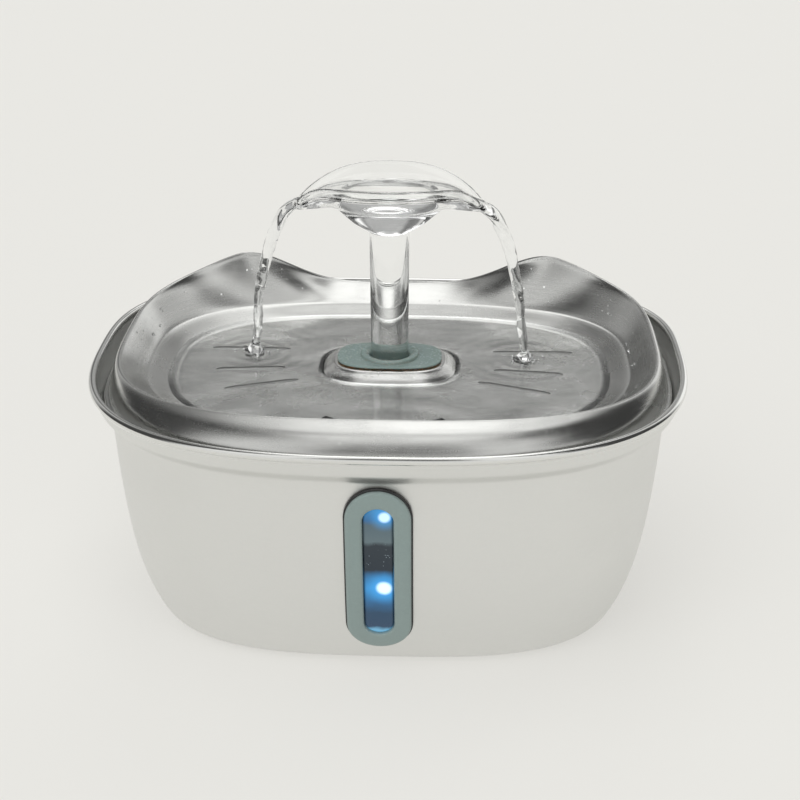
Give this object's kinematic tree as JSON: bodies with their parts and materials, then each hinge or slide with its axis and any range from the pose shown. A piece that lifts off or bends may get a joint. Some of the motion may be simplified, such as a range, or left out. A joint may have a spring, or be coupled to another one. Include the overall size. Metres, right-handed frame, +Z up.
{
  "type": "tabletop water fountain",
  "caption": "Rounded steel tub with a lift-out steel drinking tray, a clear stem and oval dish that shed two streams, and a level window in the front wall.",
  "frame": {"origin": "middle of the overall box, at the surface that the feet stand on", "axes": "+X to the right seen from the front, +Z up; the level window faces -Y"},
  "size_m": [0.21, 0.164, 0.1524],
  "materials": {
    "tub_steel": "fine satin, drawn sheet",
    "tray_steel": "half-bright, drawn sheet",
    "clear_plastic": "clear and polished",
    "seat_silicone": "soft matt silicone",
    "bezel_plastic": "smooth, grey-green",
    "window_pane": "polished, lit blue from behind",
    "black_rubber": "matt",
    "cup_rubber": "soft, slightly glossy",
    "white_plastic": "moulded",
    "black_plastic": "moulded, fine grain",
    "screw_steel": "turned",
    "filter_cotton": "felted pad",
    "knob_plastic": "moulded",
    "shaft_ceramic": "ground",
    "circuit_board": "lacquered",
    "led_clear": "clear, emissive blue",
    "potting_resin": "cast",
    "foam": "open cell",
    "ferrite": "ground",
    "coil_copper": "enamelled wire",
    "stator_iron": "laminated"
  },
  "bodies": {
    "tub": {"tub": "tub_steel", "foot_back_left": "black_rubber", "foot_back_right": "black_rubber", "foot_front_left": "black_rubber", "foot_front_right": "black_rubber", "cable_gland": "black_rubber", "window_bezel": "bezel_plastic", "window_gasket": "black_rubber", "window_lens": "window_pane", "window_retainer": "black_plastic", "window_screw_lower": "screw_steel", "window_screw_upper": "screw_steel"},
    "pump": {"pump_housing": "black_plastic", "led_board": "circuit_board", "led_lens": "led_clear", "potting_plug": "potting_resin", "stator_coil": "coil_copper", "stator_core": "stator_iron", "impeller_shaft": "shaft_ceramic", "impeller_cover": "white_plastic", "suction_cup_back_left": "cup_rubber", "suction_cup_back_right": "cup_rubber", "suction_cup_front_left": "cup_rubber", "suction_cup_front_right": "cup_rubber"},
    "pump_cover": {"pump_cover": "black_plastic", "pump_sponge": "foam"},
    "flow_knob": {"flow_knob": "knob_plastic"},
    "impeller": {"impeller": "white_plastic", "rotor_magnet": "ferrite"},
    "filter_box": {"filter_box": "white_plastic"},
    "filter_cartridge": {"filter_cartridge": "filter_cotton"},
    "filter_lid": {"filter_lid": "white_plastic"},
    "tray": {"tray": "tray_steel"},
    "seat": {"spout_seat": "seat_silicone"},
    "spout": {"spout_tube": "clear_plastic", "spout_dish": "clear_plastic"}
  },
  "joints": [
    {"name": "pump_lift", "type": "slide", "parent": "tub", "child": "pump", "axis": [0, 0, 1], "range_m": [0, 0.05]},
    {"name": "filter_box_lift", "type": "slide", "parent": "pump", "child": "filter_box", "axis": [0, 0, 1], "range_m": [0, 0.04]},
    {"name": "cartridge_lift", "type": "slide", "parent": "filter_box", "child": "filter_cartridge", "axis": [0, 0, 1], "range_m": [0, 0.025]},
    {"name": "filter_lid_lift", "type": "slide", "parent": "filter_cartridge", "child": "filter_lid", "axis": [0, 0, 1], "range_m": [0, 0.025]},
    {"name": "tray_lift", "type": "slide", "parent": "filter_lid", "child": "tray", "axis": [0, 0, 1], "range_m": [0, 0.06]},
    {"name": "seat_pull", "type": "slide", "parent": "tray", "child": "seat", "axis": [0, 0, 1], "range_m": [0, 0.025]},
    {"name": "spout_turn", "type": "hinge", "parent": "seat", "child": "spout", "pos_m": [0, 0.009, 0.12], "axis": [0, 0, 1], "continuous": true},
    {"name": "pump_cover_slide", "type": "slide", "parent": "pump", "child": "pump_cover", "axis": [0, -1, 0], "range_m": [0, 0.03]},
    {"name": "flow_knob_turn", "type": "hinge", "parent": "pump_cover", "child": "flow_knob", "pos_m": [0, -0.019, 0.03345], "axis": [0, -1, 0], "range_deg": [0, 90]},
    {"name": "impeller_spin", "type": "hinge", "parent": "pump", "child": "impeller", "pos_m": [0, 0.009, 0.03345], "axis": [0, 1, 0], "continuous": true}
  ]
}
